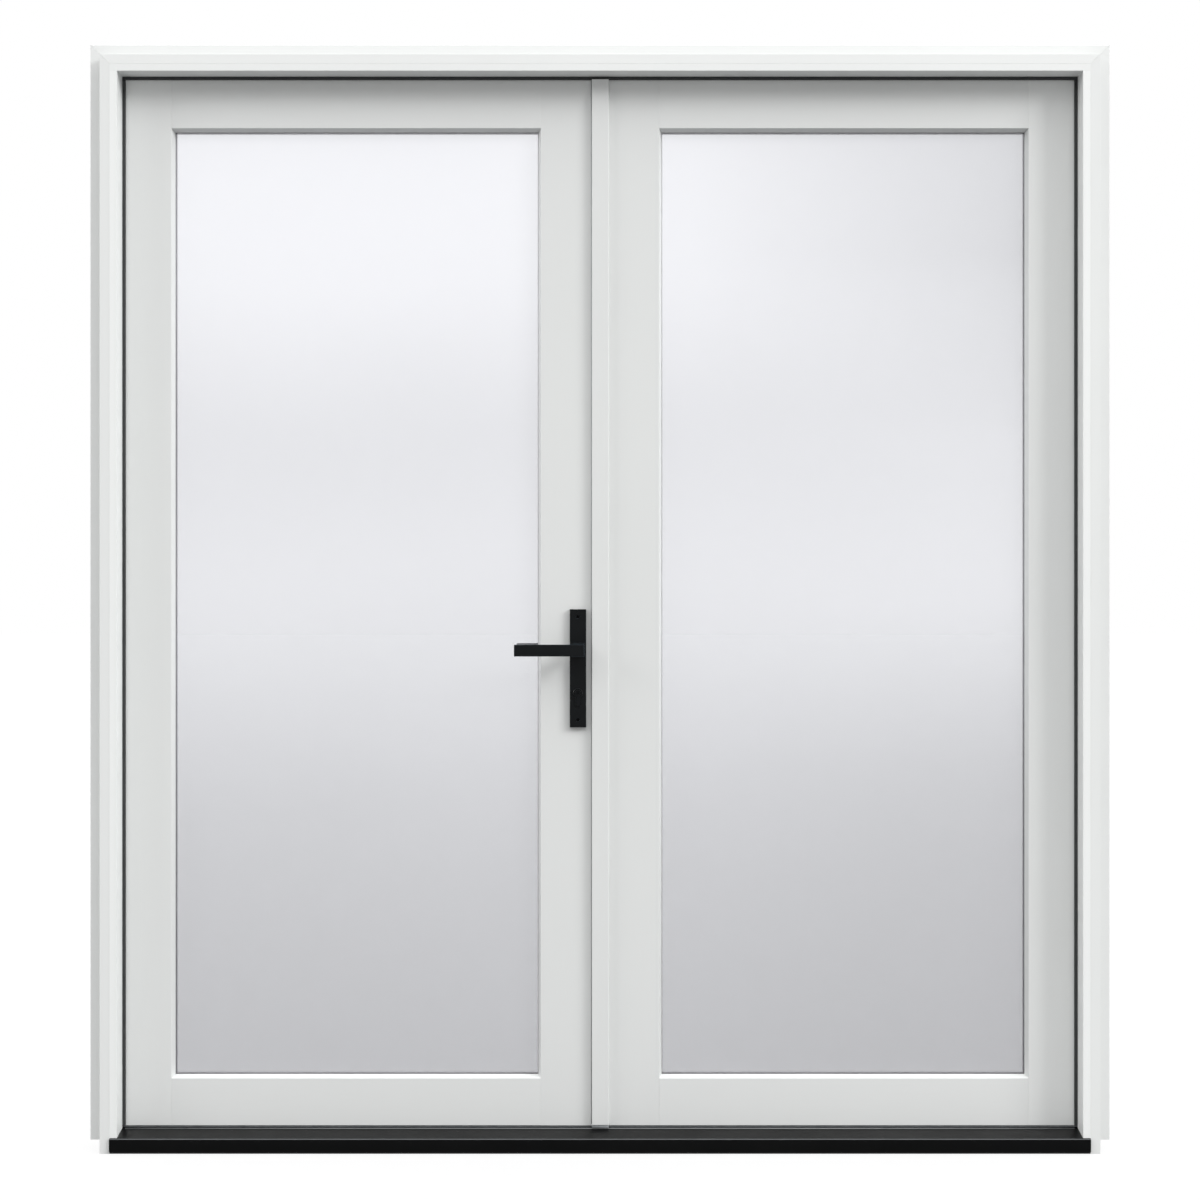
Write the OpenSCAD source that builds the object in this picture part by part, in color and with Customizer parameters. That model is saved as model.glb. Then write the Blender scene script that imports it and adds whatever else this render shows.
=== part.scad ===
// Pair of in-swinging glazed doors in their own frame, with sill, T-shaped meeting post and lever lock.
// X runs across the doors, +Y points indoors, Z is up. y = 0 is the outside face of the closed leaves
// and z = 0 is the underside of the frame. The active leaf is the one on the -X side.

/* [Frame] */
// Overall width of the frame
frame_w = 1820; // [1400:1:2400]
// Overall height of the frame
frame_h = 2000; // [1800:1:2600]
// How far the leaves lie behind the frame's outside face
recess_d = 50; // [46:1:80]
// Width of each jamb's outside face
jamb_face = 31.5; // [28:0.5:60]
// Height of the head's outside face
head_face = 30.5; // [28:0.5:60]
// Rebate beside each leaf's hinge edge
jamb_rebate = 15; // [10:0.5:18]
// Rebate above the leaves
head_rebate = 10; // [8:0.5:14]
// Width of the outer cladding strip
clad_w = 18; // [17:0.5:22]
// Depth of the outer cladding strip
clad_d = 35; // [20:1:40]
// Distance of the nailing fin's back from the frame's outside face
fin_back = 34; // [10:0.5:34]
// How far the nailing fin stands out from the frame
fin_out = 24; // [15:1:40]
// Thickness of the nailing fin
fin_t = 1.5; // [1:0.1:3]
// Height of the nailing fin's foot above the floor
fin_foot = 18; // [0:1:60]

/* [Sill] */
// How far the nosing stands out from the frame
nosing_out = 4; // [3:0.5:12]
// Underside of the nosing above the floor
nosing_low = 4; // [2:0.5:10]
// Top edge of the nosing above the floor
nosing_top = 28; // [20:0.5:30]
// Chamfer along the nosing's top edge
nosing_chamfer = 1.5; // [0.5:0.1:2.5]
// Height of the sill under the leaves
sill_h = 36.5; // [34:0.5:50]
// Thickness of the metal sill pan
pan_t = 2.5; // [1.5:0.1:4]
// How far the pan reaches in under the leaves
pan_under = 8; // [4:1:9]

/* [Weatherstrip] */
// Width of the strip that shows beside the frame's stop
strip_show = 6; // [3:0.5:9]
// Thickness of the strip, between the stop and the leaf
strip_t = 4; // [3:0.5:8]
// Thickness of the barb that holds the strip in its kerf
barb_t = 2; // [1.5:0.1:3]
// Length of the barb
barb_l = 6; // [4:0.5:10]

/* [Leaves] */
// Thickness of each leaf
leaf_t = 44.5; // [40:0.5:57]
// Width of each stile
stile_w = 101.5; // [90:0.5:130]
// Height of each top rail
top_rail_h = 101; // [80:0.5:150]
// Height of each bottom rail
bottom_rail_h = 86.5; // [70:0.5:250]
// Gap between a leaf and the frame, at the side and at the top
leaf_gap = 3; // [2.5:0.1:5]
// Gap between a leaf and the sill
foot_gap = 3.5; // [3:0.1:8]
// Length of the tenons on the rails
tenon_l = 40; // [20:1:50]
// Thickness of the tenons
tenon_t = 14; // [10:0.5:16]
// Shoulder above and below each tenon
tenon_shoulder = 22; // [15:1:30]
// Thickness of the sweep's base under each leaf
sweep_t = 1.5; // [1:0.1:2.5]
// Depth of the sweep, front to back
sweep_d = 30; // [20:1:36]

/* [Glazing] */
// Depth of the outside glazing recess
glass_recess = 16; // [12:0.5:18]
// Width of the bevel round the glass
bevel_w = 5; // [3:0.5:10]
// How far the glazing pocket is cut into stiles and rails
pocket_w = 8; // [6:0.5:12]
// Thickness of each glass pane
pane_t = 4; // [3:0.5:4.5]
// Width of the sealed gap between the panes
pane_space = 11; // [8:0.5:12]
// Play round the edge of the panes in the pocket
pane_play = 1; // [0.5:0.1:2]
// How much of the spacer shows past the bevel
spacer_show = 0.8; // [0:0.1:3]
// Width of the flat on each inside bead
bead_flat = 8; // [4:0.5:10]

/* [Astragal] */
// Thickness of the post between the leaves
post_w = 11; // [10:0.5:20]
// Gap between the post and the active leaf
meet_gap = 4; // [3.5:0.1:6]
// How far the flange covers the active leaf
flange_active = 7.5; // [5:0.5:12]
// How far the flange covers the passive leaf
flange_passive = 8.5; // [5:0.5:14]
// How far the flange stands out from the leaves
flange_t = 10; // [8:0.5:14]
// Chamfer along the flange's edges
flange_chamfer = 1; // [0.5:0.1:2]
// Space behind the flange for its seal
seal_t = 2.5; // [2:0.1:4]
// Height of the dust pad under the flange
pad_h = 3; // [2:0.5:6]

/* [Hinges] */
// Height of each hinge
hinge_h = 102; // [76:1:127]
// Radius of the hinge knuckle
knuckle_r = 6; // [5:0.5:8]
// Radius of the hinge pin
pin_r = 3; // [2:0.5:4]
// Thickness of the hinge plates
hinge_t = 2.5; // [2:0.1:3.4]
// Width of the hinge plate let into the wood
hinge_w = 30; // [20:1:36]
// Middle of the bottom hinge above the foot of the leaf
hinge_low = 250; // [150:1:350]
// Middle of the top hinge below the top of the leaf
hinge_high = 180; // [120:1:300]

/* [Handles] */
// Height of the lever above the floor
lever_z = 915; // [850:1:1100]
// Distance from the active leaf's lock edge to the lever's axis
backset = 33; // [30:0.5:45]
// Length of the lever from its axis to its tip
lever_len = 116; // [80:1:150]
// Length of the lever behind its axis
lever_tail = 11.5; // [10:0.5:14]
// Height of the lever bar
lever_h = 21.5; // [16:0.5:25]
// Thickness of the lever bar
lever_t = 10; // [6:0.5:16]
// Distance from the leaf to the lever's outer face
lever_out = 52; // [42:1:70]
// Radius of the lever's neck
neck_r = 9; // [8:0.5:10]
// Side of the square collar
collar_w = 25.5; // [23:0.5:28]
// Depth of the square collar
collar_d = 12; // [6:0.5:16]
// Width of the handle plate
plate_w = 30; // [28:0.5:40]
// Length of the handle plate
plate_len = 217; // [200:1:260]
// Thickness of the handle plate
plate_t = 8; // [5:0.5:10]
// Height of the plate's top above the lever's axis
plate_up = 75; // [65:1:100]
// Distance of the fixing screws from the plate's ends
screw_inset = 14; // [8:1:14]
// Side of the square spindle
spindle_w = 8; // [7:0.5:9]

/* [Lock] */
// Height of the lock case
case_h = 168; // [150:1:172]
// Depth of the lock case behind its faceplate
case_d = 48; // [44:1:60]
// Thickness of the lock case
case_t = 18; // [16:0.5:20]
// Thickness of the faceplate and of the strike plate
face_t = 2.5; // [2:0.1:3]
// Width of the faceplate and of the strike plate
face_w = 22; // [20:0.5:26]
// Length of the faceplate
face_len = 230; // [200:1:300]
// Distance of the key cylinder below the lever's axis
cylinder_drop = 79; // [70:1:92]
// Radius of the key cylinder's round part
cylinder_r = 8.5; // [8:0.1:9]
// Whole height of the key cylinder
cylinder_h = 33; // [28:1:34]
// Width of the key cylinder's leg
cylinder_leg = 10; // [8:0.5:12]
// How far the key cylinder stands out from its plate
cylinder_out = 2; // [1:0.5:6]
// Radius of the turning plug
plug_r = 5.5; // [4.5:0.1:6]
// Height of the latch bolt
latch_h = 16; // [10:0.5:20]
// How far the latch bolt travels each way
latch_throw = 12; // [8:0.5:14]
// Height of the dead bolt
dead_h = 24; // [16:1:26]
// How far the dead bolt travels
dead_throw = 20; // [12:1:22]
// Thickness of both bolts
bolt_t = 11; // [8:0.5:12]
// Radius of the flush bolts in the post
flush_r = 3.5; // [3:0.1:4]
// Length of the flush bolts
flush_len = 160; // [120:1:300]
// How far the flush bolts travel
flush_throw = 15; // [10:1:18]

/* [Hidden] */
$fn = 64;

white = [0.86, 0.87, 0.86];
black = [0.1, 0.1, 0.11];
sill_dark = [0.17, 0.18, 0.19];
rubber = [0.13, 0.13, 0.14];
steel = [0.62, 0.63, 0.65];
glass = [0.85, 0.9, 0.92, 0.35];

rub = 0.3;    // clearance of a sliding or sealing face
turn = 0.06;  // radial clearance of a turning or sliding round fit
cut = 1;      // how far a cutting shape runs past the face it opens

// Frame
half_w = frame_w / 2;
stop_x = half_w - jamb_face;
edge_x = stop_x + jamb_rebate;
clad_x = half_w - clad_w;
fin_y = fin_back - fin_t - recess_d;
stop_z = frame_h - head_face;
edge_z = stop_z + head_rebate;

// Weatherstrip
barb_shoulder = 1;
barb_join = 0.5;

// Leaves, measured on the passive side where +X leads to the hinges
meet_x = (post_w + meet_gap) / 2;
hinge_x = edge_x - leaf_gap;
open_x0 = meet_x + stile_w;
open_x1 = hinge_x - stile_w;
foot_z = sill_h + foot_gap;
top_z = edge_z - leaf_gap;
open_z0 = foot_z + bottom_rail_h;
open_z1 = top_z - top_rail_h;
mid_y = leaf_t / 2;

// Glazing, with the corners of the opening and of its pocket in x and z
open_low = [open_x0, open_z0];
open_high = [open_x1, open_z1];
pocket_low = open_low - [pocket_w, pocket_w];
pocket_high = open_high + [pocket_w, pocket_w];
pane_y = glass_recess;
inner_pane_y = pane_y + pane_t + pane_space;
bead_y = inner_pane_y + pane_t;
bead_w = pocket_w + bevel_w;

// Sweeps
sweep_inset = 1;
blade_t = 2;

// Hinges
knuckle_stand = 0.5;
pin_x = (hinge_x + edge_x) / 2;
pin_y = leaf_t + knuckle_r + knuckle_stand;
hinge_z0 = foot_z + hinge_low;
hinge_z1 = top_z - hinge_high;
hinge_mids = [hinge_z0, (hinge_z0 + hinge_z1) / 2, hinge_z1];
knuckles = 5;
knuckle_gap = 0.4;
knuckle_h = (hinge_h - (knuckles - 1) * knuckle_gap) / knuckles;
pin_head_r = (knuckle_r + pin_r) / 2;
pin_head_h = 3;

// Meeting post
post_x0 = -meet_x + meet_gap;
flange_x0 = -meet_x - flange_active;
flange_x1 = meet_x + flange_passive;
flange_top = stop_z - strip_show - rub;
seal_inset = 1;
seal_w = flange_active - seal_inset;

// Lock and handles
axis_x = -meet_x - backset;
cylinder_z = lever_z - cylinder_drop;
plate_top = lever_z + plate_up;
plate_mid = plate_top - plate_len / 2;
screw_zs = [plate_top - screw_inset, plate_top - plate_len + screw_inset];
screw_r = 2.5;
screw_head_r = 3.4;
screw_sunk = 0.6;
socket_w = 3.5;
hub_r = 10;
hub_space = 5;
case_x1 = -meet_x - face_t;
case_x0 = case_x1 - case_d;
latch_z = lever_z + hub_r + hub_space + latch_h / 2;
latch_len = 28;
dead_z = (lever_z - hub_r + cylinder_z + cylinder_r) / 2;
dead_len = 34;
strike_margin = 18;
strike_top = latch_z + latch_h / 2 + strike_margin;
strike_bottom = dead_z - dead_h / 2 - strike_margin;
bolt_play = 1;
neck_play = 1;
spindle_end = 14;
plug_out = 1;
key_slot = [2, 7];
key_depth = leaf_t * 2 / 3;
turn_len = 26;
turn_w = 9;
turn_out = 15;

// Flush bolts
flush_x = (post_x0 + meet_x) / 2;
flush_back = 1;
flush_low = top_z - flush_back - flush_len;
thumb_h = 14;
thumb_w = 5;
keep_t = 2;
keep_size = [20, 24];
keep_play = 0.6;
keep_r = flush_r + keep_play;
keep_spare = 1;
keep_depth = flush_throw - flush_back - leaf_gap + keep_spare;

module block(low, high) { translate(low) cube(high - low); }

// Outline in y and z, drawn out along X and centred
module across(length) { rotate([90, 0, 90]) linear_extrude(length, center = true) children(); }

// Outline in x and z, drawn out along +Y from y0
module inward(y0, depth) {
    translate([0, y0 + depth, 0]) rotate([90, 0, 0]) linear_extrude(depth) children();
}

// The same shape on the other side of the doors' middle
module other_hand() { mirror([1, 0, 0]) children(); }

// The same shape on the indoor face of the leaf
module indoors() { translate([0, leaf_t, 0]) mirror([0, 1, 0]) children(); }

// Places a strip that lies along X and grows up on one side of an opening from low to high in x and z
module on_side(side, low, high) {
    if (side == "bottom") translate([low[0], 0, low[1]]) children();
    if (side == "top") translate([low[0], 0, high[1]]) mirror([0, 0, 1]) children();
    if (side == "meet") translate([low[0], 0, low[1]]) mirror([1, 0, 0]) rotate([0, -90, 0]) children();
    if (side == "hinge") translate([high[0], 0, low[1]]) rotate([0, -90, 0]) children();
}

// A strip along X with its outline in y and z, mitred at both ends
module mitred(length, height, outline) {
    intersection() {
        translate([length / 2, 0, 0]) across(length) polygon(outline);
        inward(-cut, leaf_t + 2 * cut)
            polygon([[0, 0], [length, 0], [length - height, height], [height, height]]);
    }
}

function side_length(side, low, high) =
    (side == "bottom" || side == "top") ? high[0] - low[0] : high[1] - low[1];

// ---- Frame ----

module sill_outline() {
    polygon([
        [-recess_d - nosing_out, 0], [-recess_d - nosing_out, nosing_top - nosing_chamfer],
        [-recess_d - nosing_out + nosing_chamfer, nosing_top], [0, sill_h], [leaf_t, sill_h], [leaf_t, 0]
    ]);
}

module head_outline() {
    polygon([
        [-recess_d, stop_z], [-strip_t, stop_z], [-strip_t, edge_z], [leaf_t, edge_z],
        [leaf_t, frame_h], [-recess_d, frame_h]
    ]);
}

// Room for the cladding, in front of the jambs and the head
module cladding_room() {
    inward(-recess_d - cut, clad_d + cut) difference() {
        translate([-half_w - cut, -cut]) square([frame_w + 2 * cut, frame_h + 2 * cut]);
        translate([-clad_x, -2 * cut]) square([2 * clad_x, frame_h - clad_w + 2 * cut]);
    }
}

module hinge_mortises(x0, x1) {
    for (z = hinge_mids)
        block([x0, leaf_t - hinge_w, z - hinge_h / 2], [x1, leaf_t + cut, z + hinge_h / 2]);
}

module jamb() {
    color(white) difference() {
        linear_extrude(frame_h) polygon([
            [half_w, -recess_d], [half_w, leaf_t], [edge_x, leaf_t], [edge_x, -strip_t],
            [stop_x, -strip_t], [stop_x, -recess_d]
        ]);
        cladding_room();
        across(frame_w + 2 * cut) head_outline();
        across(2 * edge_x) sill_outline();
        hinge_mortises(edge_x, edge_x + hinge_t);
        block([stop_x + strip_t, -strip_t - barb_l, 0], [stop_x + strip_t + barb_t, 0, frame_h]);
    }
}

module jamb_left() { other_hand() jamb(); }

module jamb_right() { jamb(); }

module head_jamb() {
    color(white) difference() {
        across(frame_w) head_outline();
        cladding_room();
        block([-frame_w, -strip_t - barb_l, stop_z + strip_t], [frame_w, 0, stop_z + strip_t + barb_t]);
        keep_room(edge_z, 1);
    }
}

module cladding_side() {
    color(white) {
        inward(-recess_d, clad_d)
            polygon([[clad_x, 0], [half_w, 0], [half_w, frame_h], [clad_x, frame_h - clad_w]]);
        inward(fin_y, fin_t) polygon([
            [half_w, fin_foot], [half_w + fin_out, fin_foot],
            [half_w + fin_out, frame_h + fin_out], [half_w, frame_h]
        ]);
    }
}

module cladding_left() { other_hand() cladding_side(); }

module cladding_right() { cladding_side(); }

module cladding_head() {
    color(white) {
        inward(-recess_d, clad_d) polygon([
            [-half_w, frame_h], [-clad_x, frame_h - clad_w],
            [clad_x, frame_h - clad_w], [half_w, frame_h]
        ]);
        inward(fin_y, fin_t) polygon([
            [-half_w, frame_h], [half_w, frame_h],
            [half_w + fin_out, frame_h + fin_out], [-half_w - fin_out, frame_h + fin_out]
        ]);
    }
}

function pan_slope() = (sill_h - nosing_top) / (recess_d + nosing_out - nosing_chamfer);

function pan_rise(y) = sill_h - pan_t + pan_slope() * y;

module sill_pan() {
    color(sill_dark) across(2 * clad_x) polygon([
        [-recess_d, nosing_low], [-recess_d - nosing_out, nosing_low],
        [-recess_d - nosing_out, nosing_top - nosing_chamfer],
        [-recess_d - nosing_out + nosing_chamfer, nosing_top], [0, sill_h],
        [pan_under, sill_h], [pan_under, sill_h - pan_t], [0, sill_h - pan_t],
        [-recess_d, pan_rise(-recess_d)]
    ]);
}

module sill_core() {
    color(sill_dark) difference() {
        across(2 * edge_x) polygon([
            [-recess_d, 0], [-recess_d, pan_rise(-recess_d)], [0, sill_h - pan_t],
            [pan_under, sill_h - pan_t], [pan_under, sill_h], [leaf_t, sill_h], [leaf_t, 0]
        ]);
        cladding_room();
        keep_room(sill_h, -1);
    }
}

// A strip with a round showing edge, and a barb in the stop's kerf. It lies along X and shows above z = 0
module weatherstrip(length) {
    lip_r = (strip_t - rub) / 2;
    root = strip_t + barb_t + barb_shoulder;
    across(length) {
        translate([-strip_t, -root]) square([strip_t - rub, strip_show + root - lip_r]);
        translate([-strip_t + lip_r, strip_show - lip_r]) circle(lip_r);
        translate([barb_join - strip_t - barb_l, -strip_t - barb_t]) square([barb_l, barb_t]);
    }
}

module weatherstrip_side() {
    run = [foot_z, stop_z - strip_show - rub];
    color(rubber) translate([stop_x, 0, (run[0] + run[1]) / 2]) rotate([0, -90, 0])
        weatherstrip(run[1] - run[0]);
}

module weatherstrip_left() { other_hand() weatherstrip_side(); }

module weatherstrip_right() { weatherstrip_side(); }

module weatherstrip_head() {
    color(rubber) translate([0, 0, stop_z]) mirror([0, 0, 1]) weatherstrip(2 * stop_x);
}

// ---- Hinges ----

// Knuckles on the pin's axis: every second one, starting at the first or the second
module knuckle_stack(first) {
    for (k = [first : 2 : knuckles - 1])
        translate([pin_x, pin_y, k * (knuckle_h + knuckle_gap) - hinge_h / 2])
            cylinder(h = knuckle_h, r = knuckle_r);
}

// One hinge leaf between x0 and x1, joined to its own knuckles and kept away from the others
module hinge_leaf(x0, x1, first) {
    difference() {
        union() {
            knuckle_stack(first);
            block([x0, leaf_t - hinge_w, -hinge_h / 2], [x1, leaf_t, hinge_h / 2]);
            for (k = [first : 2 : knuckles - 1])
                translate([0, 0, k * (knuckle_h + knuckle_gap) - hinge_h / 2])
                    block([x0, leaf_t, 0], [x1, pin_y, knuckle_h]);
        }
        translate([pin_x, pin_y, -hinge_h]) cylinder(h = 2 * hinge_h, r = pin_r + turn);
    }
}

module hinge_pin() {
    translate([pin_x, pin_y, -hinge_h / 2]) cylinder(h = hinge_h, r = pin_r);
    for (end = [-1, 1])
        translate([pin_x, pin_y, end * (hinge_h + pin_head_h + knuckle_gap) / 2])
            cylinder(h = pin_head_h + knuckle_gap, r = pin_r, center = true);
    for (end = [-1, 1])
        translate([pin_x, pin_y, end * (hinge_h / 2 + knuckle_gap + pin_head_h / 2)])
            cylinder(h = pin_head_h, r = pin_head_r, center = true);
}

module at_hinges() { for (z = hinge_mids) translate([0, 0, z]) children(); }

module frame_hinge_plates() {
    color(black) {
        at_hinges() hinge_leaf(edge_x, edge_x + hinge_t, 0);
        other_hand() at_hinges() hinge_leaf(edge_x, edge_x + hinge_t, 0);
    }
}

module hinge_pins() {
    color(black) {
        at_hinges() hinge_pin();
        other_hand() at_hinges() hinge_pin();
    }
}

module leaf_hinge_plates() { color(black) at_hinges() hinge_leaf(hinge_x - hinge_t, hinge_x, 1); }

module active_hinge_plates() { other_hand() leaf_hinge_plates(); }

module passive_hinge_plates() { leaf_hinge_plates(); }

// ---- Leaves, drawn on the passive side ----

module glass_pocket() {
    block([pocket_low[0], pane_y, pocket_low[1]], [pocket_high[0], leaf_t + cut, pocket_high[1]]);
}

module bevel(side) {
    on_side(side, open_low, open_high)
        mitred(side_length(side, open_low, open_high), bevel_w, [[0, 0], [pane_y, 0], [pane_y, bevel_w]]);
}

module tenon(z0, z1) {
    block(
        [open_x0 - tenon_l, mid_y - tenon_t / 2, z0 + tenon_shoulder],
        [open_x1 + tenon_l, mid_y + tenon_t / 2, z1 - tenon_shoulder]
    );
}

module tenons() {
    tenon(open_z1, top_z);
    tenon(foot_z, open_z0);
}

module hinge_stile() {
    color(white) difference() {
        union() {
            block([open_x1, 0, foot_z], [hinge_x, leaf_t, top_z]);
            bevel("hinge");
        }
        glass_pocket();
        tenons();
        hinge_mortises(hinge_x - hinge_t, hinge_x + cut);
    }
}

module lock_stile() {
    difference() {
        union() {
            block([meet_x, 0, foot_z], [open_x0, leaf_t, top_z]);
            bevel("meet");
        }
        glass_pocket();
        tenons();
    }
}

module rail(z0, z1, side) {
    color(white) difference() {
        union() {
            block([open_x0, 0, z0], [open_x1, leaf_t, z1]);
            tenon(z0, z1);
            bevel(side);
        }
        glass_pocket();
    }
}

module pane(y0) {
    color(glass) block(
        [pocket_low[0] + pane_play, y0, pocket_low[1] + pane_play],
        [pocket_high[0] - pane_play, y0 + pane_t, pocket_high[1] - pane_play]
    );
}

module spacer() {
    inset = [pane_play, pane_play];
    sight = [bevel_w + spacer_show, bevel_w + spacer_show];
    color(steel) inward(pane_y + pane_t, pane_space) difference() {
        translate(pocket_low + 2 * inset) square(pocket_high - pocket_low - 4 * inset);
        translate(open_low + sight) square(open_high - open_low - 2 * sight);
    }
}

module bead(side) {
    color(white) on_side(side, pocket_low, pocket_high)
        mitred(side_length(side, pocket_low, pocket_high), bead_w,
            [[bead_y, 0], [bead_y, bead_w], [leaf_t, bead_flat], [leaf_t, 0]]);
}

// A base under the leaf with three thin blades down to the sill
module sweep() {
    x0 = meet_x + sweep_inset;
    x1 = hinge_x - sweep_inset;
    blade_ys = [mid_y - sweep_d / 2, mid_y - blade_t / 2, mid_y + sweep_d / 2 - blade_t];
    color(rubber) {
        block([x0, mid_y - sweep_d / 2, foot_z - sweep_t], [x1, mid_y + sweep_d / 2, foot_z]);
        for (y = blade_ys)
            block([x0, y, sill_h + rub], [x1, y + blade_t, foot_z - sweep_t]);
    }
}

module active_hinge_stile() { other_hand() hinge_stile(); }

module active_top_rail() { other_hand() rail(open_z1, top_z, "top"); }

module active_bottom_rail() { other_hand() rail(foot_z, open_z0, "bottom"); }

module active_outer_pane() { other_hand() pane(pane_y); }

module active_inner_pane() { other_hand() pane(inner_pane_y); }

module active_spacer() { other_hand() spacer(); }

module active_hinge_bead() { other_hand() bead("hinge"); }

module active_lock_bead() { other_hand() bead("meet"); }

module active_top_bead() { other_hand() bead("top"); }

module active_bottom_bead() { other_hand() bead("bottom"); }

module active_sweep() { other_hand() sweep(); }

module passive_hinge_stile() { hinge_stile(); }

module passive_top_rail() { rail(open_z1, top_z, "top"); }

module passive_bottom_rail() { rail(foot_z, open_z0, "bottom"); }

module passive_outer_pane() { pane(pane_y); }

module passive_inner_pane() { pane(inner_pane_y); }

module passive_spacer() { spacer(); }

module passive_hinge_bead() { bead("hinge"); }

module passive_lock_bead() { bead("meet"); }

module passive_top_bead() { bead("top"); }

module passive_bottom_bead() { bead("bottom"); }

module passive_sweep() { sweep(); }

// ---- Lock and handles, on the active leaf ----

module cylinder_outline(grow) {
    circle(cylinder_r + grow);
    translate([-cylinder_leg / 2 - grow, cylinder_r - cylinder_h - grow])
        square([cylinder_leg + 2 * grow, cylinder_h - cylinder_r + grow]);
}

module cylinder_prism(y0, y1, grow) {
    translate([axis_x, 0, cylinder_z]) inward(y0, y1 - y0) cylinder_outline(grow);
}

// A round along Y from y0 to y1, at height z on the handles' axis
module turned(y0, y1, r, z) {
    translate([axis_x, y1, z]) rotate([90, 0, 0]) cylinder(h = y1 - y0, r = r);
}

module screw_holes() { for (z = screw_zs) turned(-leaf_t, 2 * leaf_t, screw_r + rub, z); }

// Way of a bolt of the given height and thickness from x0 to x1 at height z
module bolt_way(x0, x1, z, height, grow) {
    block(
        [x0, mid_y - bolt_t / 2 - grow, z - height / 2 - grow],
        [x1, mid_y + bolt_t / 2 + grow, z + height / 2 + grow]
    );
}

// Upright block from x0 to x1, centred on the leaf's thickness and on the handle plates' height
module case_block(x0, x1, depth, height) {
    block(
        [x0, mid_y - depth / 2, plate_mid - height / 2],
        [x1, mid_y + depth / 2, plate_mid + height / 2]
    );
}

module case_body() {
    case_block(case_x0, case_x1, case_t, case_h);
    case_block(case_x1, -meet_x, face_w, face_len);
}

module active_lock_stile() {
    color(white) difference() {
        other_hand() lock_stile();
        case_body();
        turned(-cut, leaf_t + cut, neck_r + neck_play, lever_z);
        cylinder_prism(-cut, leaf_t + cut, rub);
        screw_holes();
    }
}

module lock_case() {
    color(steel) difference() {
        case_body();
        turned(-cut, leaf_t + cut, hub_r + turn, lever_z);
        cylinder_prism(-cut, leaf_t + cut, rub);
        bolt_way(-meet_x - latch_len - latch_throw - bolt_play, 0, latch_z, latch_h, rub);
        bolt_way(-meet_x - dead_len - bolt_play, 0, dead_z, dead_h, rub);
    }
}

module outer_handle_plate() {
    color(black) difference() {
        union() {
            block(
                [axis_x - plate_w / 2, -plate_t, plate_top - plate_len],
                [axis_x + plate_w / 2, 0, plate_top]
            );
            block(
                [axis_x - collar_w / 2, -plate_t - collar_d, lever_z - collar_w / 2],
                [axis_x + collar_w / 2, -plate_t, lever_z + collar_w / 2]
            );
        }
        turned(-lever_out, cut, neck_r + turn, lever_z);
        cylinder_prism(-lever_out, cut, rub);
        screw_holes();
        for (z = screw_zs) turned(-plate_t - cut, -plate_t / 2, screw_head_r + rub, z);
    }
}

module outer_plate() { outer_handle_plate(); }

module inner_plate() { indoors() outer_handle_plate(); }

module screw_end() {
    for (z = screw_zs) difference() {
        turned(-plate_t + screw_sunk, -plate_t / 2, screw_head_r, z);
        translate([axis_x, -plate_t / 2 - cut, z]) rotate([90, 0, 0])
            cylinder(h = plate_t, d = socket_w, $fn = 6);
    }
}

module plate_screws() {
    color(steel) {
        screw_end();
        indoors() screw_end();
        for (z = screw_zs) turned(-plate_t / 2, leaf_t + plate_t / 2, screw_r, z);
    }
}

module outer_handle_lever() {
    color(black) difference() {
        union() {
            turned(-lever_out + lever_t / 2, -rub, neck_r, lever_z);
            block(
                [axis_x - lever_len, -lever_out, lever_z - lever_h / 2],
                [axis_x + lever_tail, -lever_out + lever_t, lever_z + lever_h / 2]
            );
        }
        spindle_bar(rub / 2);
    }
}

module spindle_bar(grow) {
    half = spindle_w / 2 + grow;
    end = lever_out - lever_t - spindle_end;
    block(
        [axis_x - half, -end - grow, lever_z - half],
        [axis_x + half, leaf_t + end + grow, lever_z + half]
    );
}

module outer_lever() { outer_handle_lever(); }

module inner_lever() { indoors() outer_handle_lever(); }

module lever_spindle() { color(steel) spindle_bar(0); }

module lock_hub() {
    color(steel) difference() {
        turned(mid_y - case_t / 2 + rub, mid_y + case_t / 2 - rub, hub_r, lever_z);
        spindle_bar(rub / 2);
    }
}

module latch_bolt() { color(steel) bolt_way(-meet_x - latch_len, -meet_x, latch_z, latch_h, 0); }

module dead_bolt() { color(steel) bolt_way(-meet_x - dead_len, -meet_x, dead_z, dead_h, 0); }

module lock_cylinder() {
    color(black) difference() {
        cylinder_prism(-plate_t - cylinder_out, leaf_t + plate_t + cylinder_out, 0);
        turned(-leaf_t, 2 * leaf_t, plug_r + turn, cylinder_z);
    }
}

module cylinder_plug() {
    end = plate_t + cylinder_out;
    color(steel) difference() {
        turned(-end - plug_out / 2, leaf_t + end + plug_out, plug_r, cylinder_z);
        translate([axis_x, -end, cylinder_z])
            cube([key_slot[0], key_depth, key_slot[1]], center = true);
    }
}

module thumb_turn() {
    face = leaf_t + plate_t + cylinder_out + plug_out;
    color(black) {
        turned(face, face + turn_out / 3, cylinder_r, cylinder_z);
        translate([axis_x, 0, cylinder_z]) inward(face + turn_out / 3, turn_out * 2 / 3) {
            square([turn_w, turn_len - turn_w], center = true);
            for (end = [-1, 1]) translate([0, end * (turn_len - turn_w) / 2]) circle(turn_w / 2);
        }
    }
}

// ---- Meeting post, on the passive leaf ----

module strike_block(x0) {
    block(
        [x0, mid_y - face_w / 2, strike_bottom],
        [post_x0 + face_t, mid_y + face_w / 2, strike_top]
    );
}

module latch_ways(x1) {
    bolt_way(-meet_x - cut, x1, latch_z, latch_h, bolt_play);
    bolt_way(-meet_x - cut, x1, dead_z, dead_h, bolt_play);
}

module passive_lock_stile() {
    color(white) difference() {
        lock_stile();
        bolt_way(-meet_x, dead_throw - meet_x + 2 * bolt_play, dead_z, dead_h, bolt_play);
    }
}

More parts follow.
